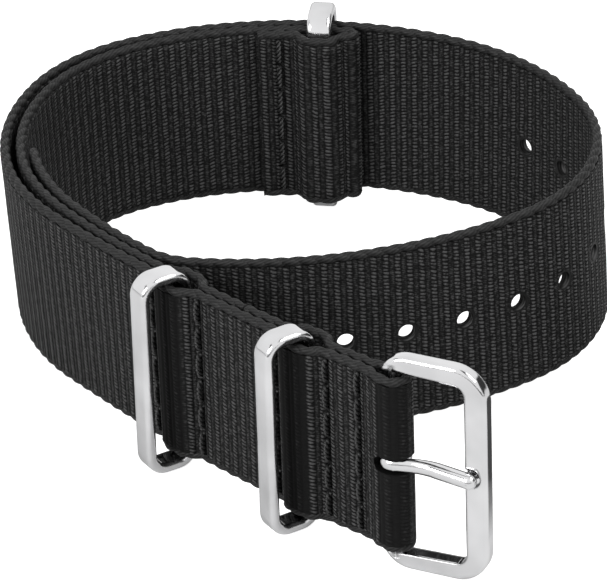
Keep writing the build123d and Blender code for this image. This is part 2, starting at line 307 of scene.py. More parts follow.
PIN_LOW, PIN_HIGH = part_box("buckle_pin")
PIN_MIDDLE = (PIN_LOW + PIN_HIGH) / 2 / MM
MID_HEIGHT = PIN_MIDDLE.z
PLAN_SHIFT = complex(PIN_MIDDLE.x, PIN_MIDDLE.y) - place(PIN_STATION, SEAM_DEPTH)[0]

WRIST_MIDDLE = complex(0.0, 14.0)

KEEPER_HALF = KEEPER_POCKET_LENGTH / 2
TOP_FACE = HALF_WEB
BOTTOM_FACE = UNDER_LAYER - HALF_WEB
LOOP_UNDER_LAYER = LOOP_LAYER + UNDER_LAYER

# Each seam: its station and the two faces that its threads lie on
SEAMS = {
    "buckle_seam": (BUCKLE_SEAM_STATION, TOP_FACE, BOTTOM_FACE),
    "keeper_2_front_seam": (KEEPER_2_STATION - KEEPER_HALF, TOP_FACE, BOTTOM_FACE),
    "keeper_2_rear_seam": (KEEPER_2_STATION + KEEPER_HALF, TOP_FACE, BOTTOM_FACE),
    "keeper_1_front_seam": (KEEPER_1_STATION - KEEPER_HALF, TOP_FACE, BOTTOM_FACE),
    "keeper_1_rear_seam": (KEEPER_1_STATION + KEEPER_HALF, TOP_FACE, BOTTOM_FACE),
    "end_ring_seam": (END_SEAM_STATION, LOOP_LAYER + HALF_WEB, LOOP_UNDER_LAYER - HALF_WEB),
}


def long_strap_path(step):
    """From the end of the folded-back layer, round the pin, and on to the tip."""
    folded_back = layer(
        PIN_STATION,
        FOLD_BACK_END,
        SEAM_DEPTH - PIN_FOLD_RADIUS,
        shifted(PIN_STATION, PIN_TAPER, PIN_RISE) + keeper_pocket(KEEPER_2_STATION, -KEEPER_BULGE),
    )
    outer_run = layer(
        PIN_STATION,
        TIP_STATION,
        PIN_RISE,
        shifted(PIN_STATION, PIN_TAPER, -PIN_RISE)
        + keeper_pocket(KEEPER_2_STATION, KEEPER_BULGE)
        + keeper_pocket(KEEPER_1_STATION, KEEPER_BULGE),
    )
    pin_fold = [(PIN_FOLD_RADIUS * math.pi, -180.0)]
    start, heading = place(FOLD_BACK_END, UNDER_LAYER)
    inside = backwards(folded_back) + pin_fold
    hidden = sum(length for length, turn in inside)
    return Path(start, heading + 180, inside + outer_run, step, PIN_STATION - hidden)


def short_strap_path(step):
    """From the cut end inside, past keeper 1, along the bend and round the end ring's bar."""
    parted = PARTING_STATION + PARTING_LENGTH
    joined = JOINING_STATION + JOINING_LENGTH
    start_station = FOLD_BACK_END + CUT_END_GAP
    parting = shifted(PARTING_STATION, PARTING_LENGTH, BEND_LAYER - UNDER_LAYER)
    joining = shifted(JOINING_STATION, JOINING_LENGTH, LOOP_LAYER - BEND_LAYER)
    run = (
        layer(
            start_station,
            PARTING_STATION,
            UNDER_LAYER,
            keeper_pocket(KEEPER_1_STATION, -KEEPER_BULGE),
        )
        + layer(PARTING_STATION, parted, UNDER_LAYER, parting)
        + layer(parted, JOINING_STATION, BEND_LAYER)
        + layer(JOINING_STATION, joined, BEND_LAYER, joining)
        + layer(joined, END_FOLD_STATION, LOOP_LAYER)
    )
    end_fold = [(-SEAM_DEPTH * math.pi, -180.0)]
    under_run = layer(
        END_SEAM_STATION - END_FOLD_TAIL,
        END_FOLD_STATION,
        LOOP_UNDER_LAYER,
        pocket(END_RING_STATION, END_POCKET_LENGTH, SEWN_GAP - END_POCKET_HEIGHT, END_POCKET_FLAT),
    )
    start, heading = place(start_station, UNDER_LAYER)
    return Path(start, heading, run + end_fold + backwards(under_run), step, start_station)


class Shell:
    """Gathers grids of quads, with their UVs, into one mesh. Points are in millimetres."""

    def __init__(self):
        self.points = []
        self.faces = []
        self.uvs = []
        self.count = 0

    def add_grid(self, points, uvs):
        """A grid of quads, closed on itself where the UVs have one column more than the points."""
        rows, columns = points.shape[:2]
        row, column = np.meshgrid(np.arange(rows - 1), np.arange(uvs.shape[1] - 1), indexing="ij")
        corners = ((0, 0), (1, 0), (1, 1), (0, 1))
        index = [(row + down) * columns + (column + over) % columns for down, over in corners]
        self.faces += (np.stack(index, -1).reshape(-1, 4) + self.count).tolist()
        shown = [uvs[row + down, column + over] for down, over in corners]
        self.uvs.append(np.stack(shown, -2).reshape(-1, 2))
        self.points.append(points.reshape(-1, 3))
        first = self.count
        self.count += rows * columns
        return first

    def add_faces(self, faces, uv):
        """Single faces between points that are there already."""
        self.faces += faces
        self.uvs.append(np.tile(uv, (sum(len(face) for face in faces), 1)))

    def add_tube(self, centres, first_side, second_side, radius, sides):
        """A round rod along the centres, closed at both ends."""
        angle = np.arange(sides) * 2 * math.pi / sides
        ring = np.cos(angle)[None, :, None] * first_side[:, None]
        ring = ring + np.sin(angle)[None, :, None] * second_side[:, None]
        steps = np.linalg.norm(np.diff(centres, axis=0), axis=1)
        along = np.concatenate([[0.0], np.cumsum(steps)])
        around = np.arange(sides + 1) / sides
        uvs = np.stack(np.broadcast_arrays(along[:, None], around[None]), -1)
        radius = np.broadcast_to(radius, len(centres))[:, None, None]
        start = self.add_grid(centres[:, None] + radius * ring, uvs)
        end = start + (len(centres) - 1) * sides
        near = list(range(start, start + sides))
        far = list(range(end, end + sides))
        self.add_faces([near[::-1], far], (0.0, 0.0))

    def mesh(self, name):
        made = bpy.data.meshes.new(name)
        points = np.concatenate(self.points) * MM
        made.from_pydata(points.tolist(), [], self.faces)
        layer_data = made.uv_layers.new(name="Webbing")
        layer_data.data.foreach_set("uv", np.concatenate(self.uvs).astype(np.float32).ravel())
        tidy = bmesh.new()
        tidy.from_mesh(made)
        bmesh.ops.recalc_face_normals(tidy, faces=tidy.faces)
        tidy.to_mesh(made)
        tidy.free()
        made.shade_smooth()
        return made


def add_object(name, mesh):
    made = bpy.data.objects.new(name, mesh)
    bpy.context.scene.collection.objects.link(made)
    return made


def dress(piece, materials, body, slot, *nodes):
    """Give a piece its materials and its body, and hide the CAD nodes that it stands for. The slot
    is not used.
    """
    for material in materials:
        piece.data.materials.append(material)
    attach(piece, body)
    if nodes:
        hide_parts(*nodes)
    return piece


def corner_drop(distance):
    """How far a rounded corner has drawn the edge in, this far from the strip's end."""
    inside = np.clip(TIP_CORNER_RADIUS - distance, 0, TIP_CORNER_RADIUS)
    return TIP_CORNER_RADIUS - np.sqrt(TIP_CORNER_RADIUS**2 - inside**2)


def near(values, places, reach):
    """1 at each of the places, falling smoothly to 0 over about the reach."""
    total = np.zeros_like(values)
    for spot in places:
        total = np.maximum(total, np.exp(-(((values - spot) / reach) ** 2)))
    return total


def weave_relief(distance, across, pitch, depth, seed):
    """How far the ribs' surface lies under the face: a rounded rib and a flatter band in turn."""
    columns = distance / pitch
    phase = columns % 1
    rib = np.sqrt(np.clip(1 - ((phase - RIB_CENTRE) / RIB_HALF) ** 2, 0, 1))
    band = BAND_HEIGHT * np.sqrt(np.clip(1 - ((phase - BAND_CENTRE) / BAND_HALF) ** 2, 0, 1))
    random = np.random.default_rng(seed)
    swell = random.uniform(0.8, 1.0, int(columns.max()) + 2)[columns.astype(int)]
    height = np.maximum(rib, band) * swell
    wave = 1 + 0.06 * np.sin(across[None] * 0.9 + columns[:, None] * 0.35)
    return depth * (1 - height[:, None] * wave)


def webbing_body(path, settings, left_seams, right_seams, holes, cut_tip, seed):
    """The woven strip between its selvedges, with ribs, seam grooves and needle dimples."""
    half_width = settings.width / MM / 2
    lines = settings.lines_across
    spread = np.linspace(-1, 1, lines)
    reach = half_width - settings.edge_size / MM * EDGE_OVERLAP
    body = np.full(len(path.distance), reach)
    if cut_tip:
        body -= corner_drop(path.length - path.distance)
    across = body[:, None] * spread[None]
    flat = reach * spread
    pitch = settings.rib_pitch / MM
    depth = settings.rib_depth / MM
    needles = [(count - STITCH_COUNT / 2) * STITCH_PITCH for count in range(STITCH_COUNT + 1)]
    dimples = near(flat, needles, DIMPLE_REACH)
    calm = 1 - near(path.distance, [0.0, path.length], CALM_END)
    stitched = np.clip((SEAM_HALF_LENGTH - abs(flat)) / SEAM_FADE, 0, 1)
    mean = depth * MEAN_RELIEF
    if len(holes):
        gap = np.hypot(
            abs(path.distance[:, None] - np.array(holes)[None]).min(1)[:, None], flat[None]
        )
        rim = 1 - np.clip((RIM_REACH - gap) / RIM_FADE, 0, 1)
    else:
        rim = 1.0
    faces = []
    for side, (seams, step) in enumerate(((left_seams, 0.0), (right_seams, 0.5))):
        relief = weave_relief(path.distance + step * pitch, flat, pitch, depth, seed + side)
        relief = mean + (relief - mean) * calm[:, None] * rim
        groove = near(path.distance, seams, GROOVE_REACH)
        valley = near(path.distance, seams, VALLEY_REACH)
        relief = relief + stitched[None] * (GROOVE_DEPTH * groove + VALLEY_DEPTH * valley)[:, None]
        relief = relief + DIMPLE_DEPTH * groove[:, None] * dimples[None]
        faces.append(HALF_WEB - relief)
    left, right = faces
    rows = len(path.distance)
    points = np.empty((rows, 2 * lines, 3))
    for start, flip, thick in ((0, 1, left), (lines, -1, right)):
        shift = path.point[:, None] + flip * path.normal[:, None] * thick[:, ::flip]
        shift = shift + path.lean[:, None] * across[:, ::flip]
        points[:, start : start + lines, 0] = shift.real
        points[:, start : start + lines, 1] = shift.imag
        points[:, start : start + lines, 2] = MID_HEIGHT + across[:, ::flip]
    ring = np.concatenate([across, across[:, ::-1], across[:, :1]], 1)
    uvs = np.stack(np.broadcast_arrays(path.distance[:, None], ring), -1)
    shell = Shell()
    shell.add_grid(points, uvs)
    far = 2 * lines - 1
    for base in (0, (rows - 1) * 2 * lines):
        caps = [
            [base + step, base + step + 1, base + far - 1 - step, base + far - step]
            for step in range(lines - 1)
        ]
        shell.add_faces(caps, (0.0, 0.0))
    return shell


def selvedge(path, settings, side, cut_tip):
    """A rope of two twisted yarns along one edge of the strip."""
    half_width = settings.width / MM / 2
    size = settings.edge_size / MM
    yarn = EDGE_YARN_SHARE * size
    swing = size / 2 - yarn
    ending = path.length - EDGE_END_GAP if cut_tip else path.length
    keep = path.distance <= ending
    distance = path.distance[keep]
    height = half_width - size / 2
    if cut_tip:
        height = height - corner_drop(path.length - distance)
    height = MID_HEIGHT + side * np.broadcast_to(height, len(distance))
    normal = path.normal[keep]
    normal = np.stack([normal.real, normal.imag, 0 * distance], -1)
    upright = np.broadcast_to([0.0, 0.0, 1.0], normal.shape)
    spot = path.point[keep] + path.lean[keep] * (height - MID_HEIGHT)
    middle = np.stack([spot.real, spot.imag, height], -1)
    shell = Shell()
    for strand in range(2):
        angle = 2 * math.pi * side * distance / (settings.edge_lay / MM) + math.pi * strand
        centres = middle + swing * np.cos(angle)[:, None] * normal * EDGE_BULGE
        centres = centres + swing * np.sin(angle)[:, None] * upright
        shell.add_tube(centres, normal, upright, yarn * EDGE_FULLNESS, 8)
    return shell


def cut_through(piece, cutters):
    """Cut closed shells out of a piece, and keep the result as its mesh."""
    tool = add_object("cutter", cutters.mesh("cutter"))
    cut = piece.modifiers.new("holes", "BOOLEAN")
    cut.operation = "DIFFERENCE"
    cut.solver = "EXACT"
    cut.object = tool
    graph = bpy.context.evaluated_depsgraph_get()
    made = bpy.data.meshes.new_from_object(piece.evaluated_get(graph))
    piece.modifiers.clear()
    old = piece.data
    piece.data = made
    bpy.data.meshes.remove(old)
    bpy.data.meshes.remove(tool.data)
    made.set_sharp_from_angle(angle=math.radians(60))


def hole_cutters(hole_stations, radius):
    """A short round bar through each adjustment hole, and a rounded one for the tongue's slot."""
    cutters = Shell()
    for station in hole_stations:
        centre, heading = place(station)
        centre += PLAN_SHIFT
        outward = 1j * unit(heading)
        ends = [centre + outward * shift for shift in (-HOLE_CUTTER_REACH, HOLE_CUTTER_REACH)]
        centres = np.array([[end.real, end.imag, MID_HEIGHT] for end in ends])
        ahead = unit(heading)
        first = np.tile([ahead.real, ahead.imag, 0.0], (2, 1))
        cutters.add_tube(centres, first, np.tile([0.0, 0.0, 1.0], (2, 1)), radius, 40)
    pin, heading = place(PIN_STATION, SEAM_DEPTH)
    pin += PLAN_SHIFT
    ahead, outward = unit(heading), 1j * unit(heading)
    half = SLOT_HEIGHT / 2
    angles = np.radians(np.linspace(-90, 90, 25))
    profile = [(half * math.cos(angle) - half, half * math.sin(angle)) for angle in angles]
    profile = profile + [(SLOT_START, half), (SLOT_START, -half)]
    slot = np.empty((2, len(profile), 3))
    for row, (shift, reach) in enumerate(SLOT_CUTTER_ENDS):
        for column, (forward, up) in enumerate(profile):
            spot = pin + ahead * (reach + forward) + outward * shift
            slot[row, column] = (spot.real, spot.imag, MID_HEIGHT + up)
    start = cutters.add_grid(slot, np.zeros((2, len(profile) + 1, 2)))
    count = len(profile)
    near_ring = list(range(start, start + count))
    far_ring = list(range(start + count, start + 2 * count))
    cutters.add_faces([near_ring[::-1], far_ring], (0.0, 0.0))
    return cutters


class Signal:
    """A node's output in a material. Arithmetic on it adds Math nodes."""

    def __init__(self, tree, socket=None):
        self.tree = tree
        self.socket = socket

    def node(self, kind, settings, sockets, output=0):
        """Add a node: its settings first, then the values or links of its sockets."""
        made = self.tree.nodes.new(kind)
        for name, value in settings.items():
            if name == "stops":
                self.set_stops(made.color_ramp, value)
            else:
                setattr(made, name, value)
        for name, value in sockets.items():
            if isinstance(value, Signal):
                self.tree.links.new(value.socket, made.inputs[name])
            else:
                made.inputs[name].default_value = value
        return Signal(self.tree, made.outputs[output])

    @staticmethod
    def set_stops(ramp, stops):
        while len(ramp.elements) < len(stops):
            ramp.elements.new(1.0)
        for element, (position, colour) in zip(ramp.elements, stops):
            element.position = position
            element.color = colour

    def math(self, operation, *values):
        return self.node("ShaderNodeMath", {"operation": operation}, dict(enumerate(values)))

    def __add__(self, other):
        return self.math("ADD", self, other)

    def __radd__(self, other):
        return self.math("ADD", other, self)

    def __sub__(self, other):
        return self.math("SUBTRACT", self, other)

    def __rsub__(self, other):
        return self.math("SUBTRACT", other, self)

    def __mul__(self, other):
        return self.math("MULTIPLY", self, other)

    def __rmul__(self, other):
        return self.math("MULTIPLY", other, self)

    def __truediv__(self, other):
        return self.math("DIVIDE", self, other)

    def __pow__(self, other):
        return self.math("POWER", self, other)

    def fraction(self):
        return self.math("FRACT", self)

    def whole(self):
        return self.math("FLOOR", self)

    def clamped(self):
        return self.math("MAXIMUM", self.math("MINIMUM", self, 1.0), 0.0)

    def highest(self, other):
        return self.math("MAXIMUM", self, other)

    def sine(self):
        return self.math("SINE", self)

    def dome(self, centre, reach):
        """1 at the centre, falling as a parabola to 0 at the reach."""
        return 1 - ((self - centre) / reach) ** 2.0

    def between(self, low, high):
        """Two colours or values, mixed by this one."""
        return self.node(
            "ShaderNodeMix", {"data_type": "RGBA"}, {"Factor": self, 6: low, 7: high}, 2
        )

    def noise(self, vector, scale, detail=2.0):
        return self.node(
            "ShaderNodeTexNoise",
            {"noise_dimensions": "3D"},
            {"Vector": vector, "Scale": scale, "Detail": detail},
        )


def grey(value):
    return (value, value, value, 1.0)


def new_material(name):
    """A material with its Principled shader: (material, its root signal, shader node)."""
    made = bpy.data.materials.new(name)
    made.use_nodes = True
    tree = made.node_tree
    shader = next(node for node in tree.nodes if node.type == "BSDF_PRINCIPLED")
    return made, Signal(tree), shader


def feed(root, shader, **links):
    """Link signals to the shader's sockets, which are named with underscores for spaces."""
    for name, signal in links.items():
        root.tree.links.new(signal.socket, shader.inputs[name.replace("_", " ")])


def bumped(root, height, distance, strength=1.0):
    return root.node(
        "ShaderNodeBump", {}, {"Strength": strength, "Distance": distance, "Height": height}
    )


def flat_coordinates(root):
    """Distance along the strip and height across it, in millimetres, from the UV map."""
    uv = root.node("ShaderNodeUVMap", {"uv_map": "Webbing"}, {})
    along = root.node("ShaderNodeSeparateXYZ", {}, {0: uv}, 0)
    across = root.node("ShaderNodeSeparateXYZ", {}, {0: uv}, 1)
    return uv, along, across


def woven_nylon(settings, rim_stations, smooth_shaded_zones, name):
    """Black ribbed nylon: columns of small slanted beads, with a smoother band between them,
    coloured with a painted highlight on the beads' crests and painted shade in the pits.

    A flattened zone is a middle and a half length along the strip, where stretched yarns lie flat
    and the colour is darkened as painted shade.
    """
    made, root, shader = new_material(name)
    uv, along, across = flat_coordinates(root)
    pitch = settings.rib_pitch / MM
    bead = settings.bead_pitch / MM
    wander = root.noise(uv, 0.35) - 0.5
    column = along / pitch
    phase = column.fraction()
    odd = (column.whole() * 0.5).fraction()
    row = across / bead + wander * 1.2 + odd - phase * 0.8
    dome = phase.dome(RIB_CENTRE, 0.31).clamped() * row.fraction().dome(0.5, 0.46).clamped()
    beads = dome**0.8
    threads = ((across * 2 * math.pi / FINE_THREAD_PITCH + wander * 6).sine() + 1) * 0.5
    band = phase.dome(BAND_CENTRE, 0.25).clamped() ** 0.5
    height = beads.highest(band * (0.36 + threads * 0.22))
    patchy = root.noise(uv, 1.1, 3.0)
    worn = ((root.noise(uv, 2.6, 1.0) - 0.36) * 4.0).clamped()
    # Flattened zones: the relief of the punched strap is lowered there, and the colour is darkened
    # as painted shade
    smooth_and_shaded = along * 0.0
    for middle, half_length in smooth_shaded_zones:
        smooth_and_shaded = smooth_and_shaded.highest((along.dome(middle, half_length) * 2.5).clamped())
    # Painted highlight and shade: the colour runs from the dark pit grey through the yarn grey to
    # the light crest grey by the beads' height, with random patches
    lit = (height * (0.5 + patchy * 1.25) * (0.6 + worn * 0.6) * (1 - smooth_and_shaded * 0.6)).clamped()
    tone = lit.node(
        "ShaderNodeValToRGB",
        {
            "stops": (
                (0.0, grey(settings.pit_shade)),
                (0.4, grey(settings.yarn_tone)),
                (1.0, grey(settings.crest_highlight)),
            )
        },
        {"Fac": lit},
    )
    if rim_stations:
        first, spacing = rim_stations
        hole = ((along - first) / spacing + 0.5).fraction() - 0.5
        reach = root.node(
            "ShaderNodeCombineXYZ", {}, {0: hole * spacing, 1: across * 1.0, 2: 0.0}
        )
        radius = root.node("ShaderNodeVectorMath", {"operation": "LENGTH"}, {0: reach}, 1)
        past = ((along - (first - spacing / 2)) * 4.0).clamped()
        rim = ((MELTED_RIM_RADIUS - radius) * 4.0).clamped() * past
        tone = rim.between(tone, grey(settings.sealed_tone))
        height = height * (1 - rim)
        height = height * (1 - smooth_and_shaded * 0.7)
        feed(root, shader, Roughness=0.72 - height * 0.26 - rim * 0.3)
    else:
        feed(root, shader, Roughness=0.72 - height * 0.26)
    feed(root, shader, Base_Color=tone, Normal=bumped(root, height, settings.bead_relief))
    shader.inputs["Specular IOR Level"].default_value = 0.12
    return made


def twisted_yarn(name, tone, filament_sheen, ply_turns, shine):
    """Filaments laid along a yarn, with painted sheen along them, for the selvedges and the sewing
    thread.
    """
    made, root, shader = new_material(name)
    uv, along, around = flat_coordinates(root)
    lines = ((around * 2 * math.pi * 7 + along * ply_turns).sine() + 1) * 0.5
    patchy = root.noise(uv, 1.7, 3.0)
    # Painted sheen: the filament lines, with random patches, lighten the colour from the yarn's
    # grey towards the sheen grey
    lit = (lines * 0.6 + patchy * 0.5).clamped()
    feed(
        root,
        shader,
        Base_Color=lit.between(grey(tone), grey(filament_sheen)),
        Roughness=0.58 - lit * 0.2,
        Normal=bumped(root, lines + patchy * 0.5, 0.02 * MM, 0.8),
    )
    shader.inputs["Specular IOR Level"].default_value = shine
    return made


# Polished steel: the share of its colour kept in blotches of painted shade, which stand in for
# uneven reflections, the grey of the painted dark reflections along its edges, and the height of
# the polish's slow swells in millimetres
PAINTED_SHADE_SHARE = 0.8
PAINTED_EDGE_TONE = 0.2
SWELL_HEIGHT = 0.5


def polished_steel(settings):
    """Bright polished steel, with faint swirls and finger marks in its gloss, blotches of painted
    shade in its colour and painted dark reflections along its edges.
    """
    made, root, shader = new_material("polished_steel")
    place_on = root.node("ShaderNodeTexCoord", {}, {}, 3)
    # One noise: it varies the roughness as real smears, and darkens the colour in blotches of
    # painted shade that stand in for uneven reflections
    smear_and_shade = root.noise(place_on, 170.0, 2.0)
    shade_blotches = ((smear_and_shade - 0.3) * 2.5).clamped()
    swell = root.noise(place_on, 110.0, 1.0)
    rounded = root.node("ShaderNodeBevel", {"samples": 8}, {"Radius": settings.edge_rounding})
    # Painted dark reflections along the edges: the colour darkens to grey wherever the rounded
    # normal leans away from the true face
    facing = root.node("ShaderNodeNewGeometry", {}, {}, 3)
    dot_product = {"operation": "DOT_PRODUCT"}
    agree = root.node("ShaderNodeVectorMath", dot_product, {0: rounded, 1: facing}, 1)
    edge = ((1 - agree) * settings.painted_edge_shade).clamped()
    tone = settings.steel_colour
    shaded_tone = [value * PAINTED_SHADE_SHARE for value in tone[:3]] + [1.0]
    bright = shade_blotches.between(shaded_tone, list(tone))
    feed(
        root,
        shader,
        Base_Color=edge.between(bright, grey(PAINTED_EDGE_TONE)),
        Roughness=settings.steel_roughness + smear_and_shade * 0.05,
        Normal=root.node(
            "ShaderNodeBump",
            {},
            {"Strength": 1.0, "Distance": SWELL_HEIGHT * MM, "Height": swell, "Normal": rounded},
        ),
    )
    shader.inputs["Metallic"].default_value = 1.0
    return made


class WebbingSettings(bpy.types.PropertyGroup):
    width: bpy.props.FloatProperty(
        name="Width", description="Width of the webbing", default=0.022, unit="LENGTH"
    )
    rib_pitch: bpy.props.FloatProperty(
        name="Rib Pitch",
        description="Distance from one column of the weave to the next",
        default=0.0014,
        unit="LENGTH",
    )
    rib_depth: bpy.props.FloatProperty(
        name="Rib Depth",
        description="Depth of the valleys between ribs",
        default=0.00012,
        unit="LENGTH",
    )
    bead_pitch: bpy.props.FloatProperty(
        name="Bead Pitch",
        description="Distance from one yarn to the next across the strap",
        default=0.00045,
        unit="LENGTH",
    )
    bead_relief: bpy.props.FloatProperty(
        name="Bead Relief", description="Height of the beads' bump", default=0.00014, unit="LENGTH"
    )
    edge_size: bpy.props.FloatProperty(
        name="Edge Size",
        description="Thickness of the twisted selvedge",
        default=0.0011,
        unit="LENGTH",
    )
    edge_lay: bpy.props.FloatProperty(
        name="Edge Lay",
        description="Length of one full turn of the selvedge's two yarns",
        default=0.0038,
        unit="LENGTH",
    )
    lines_across: bpy.props.IntProperty(
        name="Lines Across", description="Mesh lines across the strap", default=30
    )
    row_length: bpy.props.FloatProperty(
        name="Row Length", description="Mesh step along the strap", default=0.0002, unit="LENGTH"
    )
    # Painted shade in the pits between the yarns
    pit_shade: bpy.props.FloatProperty(
        name="Painted Pit Shade", description="Grey between the yarns", default=0.002
    )
    yarn_tone: bpy.props.FloatProperty(
        name="Yarn Tone", description="Grey of the yarns", default=0.0085
    )
    # Painted highlight on the yarns' crests
    crest_highlight: bpy.props.FloatProperty(
        name="Painted Crest Highlight", description="Grey of the yarns' crests", default=0.085
    )
    sealed_tone: bpy.props.FloatProperty(
        name="Sealed Tone", description="Grey of melted nylon", default=0.012
    )


class SeamSettings(bpy.types.PropertyGroup):
    stitch_pitch: bpy.props.FloatProperty(
        name="Stitch Pitch",
        description="Distance between needle holes",
        default=STITCH_PITCH * MM,
        unit="LENGTH",
    )
    stitch_count: bpy.props.IntProperty(
        name="Stitch Count", description="Stitches in a seam", default=STITCH_COUNT
    )
    ply_size: bpy.props.FloatProperty(
        name="Ply Size",
        description="Radius of one ply of the thread",
        default=0.0002,
        unit="LENGTH",
    )
    ply_lay: bpy.props.FloatProperty(
        name="Ply Lay", description="Length of one turn of the plies", default=0.0012, unit="LENGTH"
    )
    thread_tone: bpy.props.FloatProperty(
        name="Thread Tone", description="Grey of the sewing thread", default=0.003
    )


class MetalSettings(bpy.types.PropertyGroup):
    steel_colour: bpy.props.FloatVectorProperty(
        name="Steel Colour",
        description="Colour of the polished steel",
        default=(0.82, 0.82, 0.83, 1.0),
        size=4,
        subtype="COLOR",
    )
    steel_roughness: bpy.props.FloatProperty(
        name="Steel Roughness", description="Roughness of the polished steel", default=0.03
    )
    # Painted dark reflections along the edges: how strongly the edge colour darkens
    painted_edge_shade: bpy.props.FloatProperty(
        name="Painted Edge Shade", description="How strongly the edges darken", default=5.0
    )
    edge_rounding: bpy.props.FloatProperty(
        name="Edge Rounding",
        description="How far the gloss rounds over the edges",
        default=0.0005,
        unit="LENGTH",
    )


class StageSettings(bpy.types.PropertyGroup):
    floor_tone: bpy.props.FloatProperty(
        name="Floor Tone", description="Grey that the floor throws back on the strap", default=0.7
    )
    sky_level: bpy.props.FloatProperty(
        name="Sky Level", description="Brightness of the soft light all round", default=0.4
    )
    key_power: bpy.props.FloatProperty(
        name="Key Power",
        description="Power of the lamp above and to the right",
        default=2.0,
        unit="POWER",
    )
    fill_power: bpy.props.FloatProperty(
        name="Fill Power", description="Power of the lamp in front", default=2.0, unit="POWER"
    )


class STRAP_OT_long_strap(bpy.types.Operator):
    """Weave the long strap, with its selvedges, holes and tongue slot"""

    bl_idname = "strap.long_strap"
    bl_label = "Long Strap"

    def execute(self, context):
        settings = context.scene.strap_webbing
        path = long_strap_path(settings.row_length / MM)
        left_seams = []
        for seam, (station, outer_face, inner_face) in SEAMS.items():
            if seam.startswith("end_ring"):
                continue
            left_seams.append(path.nearest(station, outer_face))
            if not seam.startswith("keeper_1"):
                left_seams.append(path.nearest(station, inner_face))
        stations = [FIRST_HOLE_STATION + HOLE_PITCH * count for count in range(HOLE_COUNT)]
        holes = [path.nearest(station, 0.0) for station in stations]
        spacing = (holes[-1] - holes[0]) / (HOLE_COUNT - 1)
        body = webbing_body(path, settings, left_seams, [], holes, True, 11)
        webbing = add_object("long_strap_webbing", body.mesh("long_strap_webbing"))
        cut_through(webbing, hole_cutters(stations, HOLE_RADIUS))
        zones = [
            (path.nearest(station, KEEPER_BULGE), SMOOTH_SHADED_POCKET_HALF)
            for station in (KEEPER_2_STATION, KEEPER_1_STATION)
        ]
        fold_middle = path.nearest(PIN_STATION, PIN_RISE) - SMOOTH_SHADED_FOLD_SHIFT
        zones.append((fold_middle, SMOOTH_SHADED_FOLD_HALF))
        cloth = woven_nylon(settings, (holes[0], spacing), zones, "woven_nylon_punched")
        dress(webbing, [cloth], "strap", "webbing", "main_strap")
        edge = twisted_yarn("selvedge_yarn", 0.003, 0.035, 9.0, 0.15)
        for name, side in (("upper", 1), ("lower", -1)):
            rope = selvedge(path, settings, side, True)
            title = f"long_strap_{name}_selvedge"
            dress(add_object(title, rope.mesh(title)), [edge], "strap", "webbing")
        return {"FINISHED"}


class STRAP_OT_short_strap(bpy.types.Operator):
    """Weave the short strap that is sewn inside and holds the end ring"""

    bl_idname = "strap.short_strap"
    bl_label = "Short Strap"

    def execute(self, context):
        settings = context.scene.strap_webbing
        path = short_strap_path(settings.row_length / MM)
        left_seams, right_seams = [], []
        for seam, (station, outer_face, inner_face) in SEAMS.items():
            if seam.startswith("keeper_1"):
                right_seams.append(path.nearest(station, UNDER_LAYER))
            elif seam.startswith("end_ring"):
                left_seams.append(path.nearest(station, LOOP_LAYER))
                left_seams.append(path.nearest(station, LOOP_UNDER_LAYER))
        body = webbing_body(path, settings, left_seams, right_seams, [], False, 31)
        webbing = add_object("short_strap_webbing", body.mesh("short_strap_webbing"))
        cloth = woven_nylon(settings, None, [], "woven_nylon")
        dress(webbing, [cloth], "strap", "webbing", "short_strap")
        edge = bpy.data.materials["selvedge_yarn"]
        for name, side in (("upper", 1), ("lower", -1)):
            rope = selvedge(path, settings, side, False)
            title = f"short_strap_{name}_selvedge"
            dress(add_object(title, rope.mesh(title)), [edge], "strap", "webbing")
        return {"FINISHED"}


def stitch_row(settings, station, face, side):
    """The stitches of one thread: a two-ply arch from each needle hole to the next."""
    point, heading = place(station, face)
    point += PLAN_SHIFT
    lean = lean_vector(point, station)
    outward = side * 1j * unit(heading)
    ahead = unit(heading)
    pitch = settings.stitch_pitch / MM
    ply = settings.ply_size / MM
    lay = settings.ply_lay / MM
    samples = 28
    share = np.linspace(0, 1, samples)
    rise = STITCH_ARCH * np.sin(math.pi * share) ** STITCH_FLATNESS - STITCH_SINK
    shell = Shell()
    for count in range(settings.stitch_count):
        low = MID_HEIGHT + (count - settings.stitch_count / 2) * pitch
        height = low + pitch * (STITCH_MARGIN + (1 - 2 * STITCH_MARGIN) * share)
        spot = point + outward * rise + lean * (height - MID_HEIGHT)
        middle = np.stack([spot.real, spot.imag, height], -1)
        first = np.tile([outward.real, outward.imag, 0.0], (samples, 1))
        second = np.tile([ahead.real, ahead.imag, 0.0], (samples, 1))
        for strand in range(2):
            angle = (2 * math.pi * height / lay + math.pi * strand)[:, None]
            swing = ply * PLY_SWING * (np.cos(angle) * first + np.sin(angle) * second)
            shell.add_tube(middle + swing, first, second, ply, 7)
    return shell


class STRAP_OT_seams(bpy.types.Operator):
    """Sew the six lockstitch seams, each with its outer and its inner thread"""

    bl_idname = "strap.seams"
    bl_label = "Seams"

    def execute(self, context):
        settings = context.scene.strap_seams
        thread = twisted_yarn("sewing_thread", settings.thread_tone, 0.02, 14.0, 0.5)
        for seam, (station, outer_face, inner_face) in SEAMS.items():
            for kind, face, side in (("top", outer_face, 1), ("bobbin", inner_face, -1)):
                node = f"{seam}_{kind}_thread"
                shell = stitch_row(settings, station, face, side)
                title = f"{seam}_{kind}_stitches"
                dress(add_object(title, shell.mesh(title)), [thread], "strap", "thread", node)
        return {"FINISHED"}


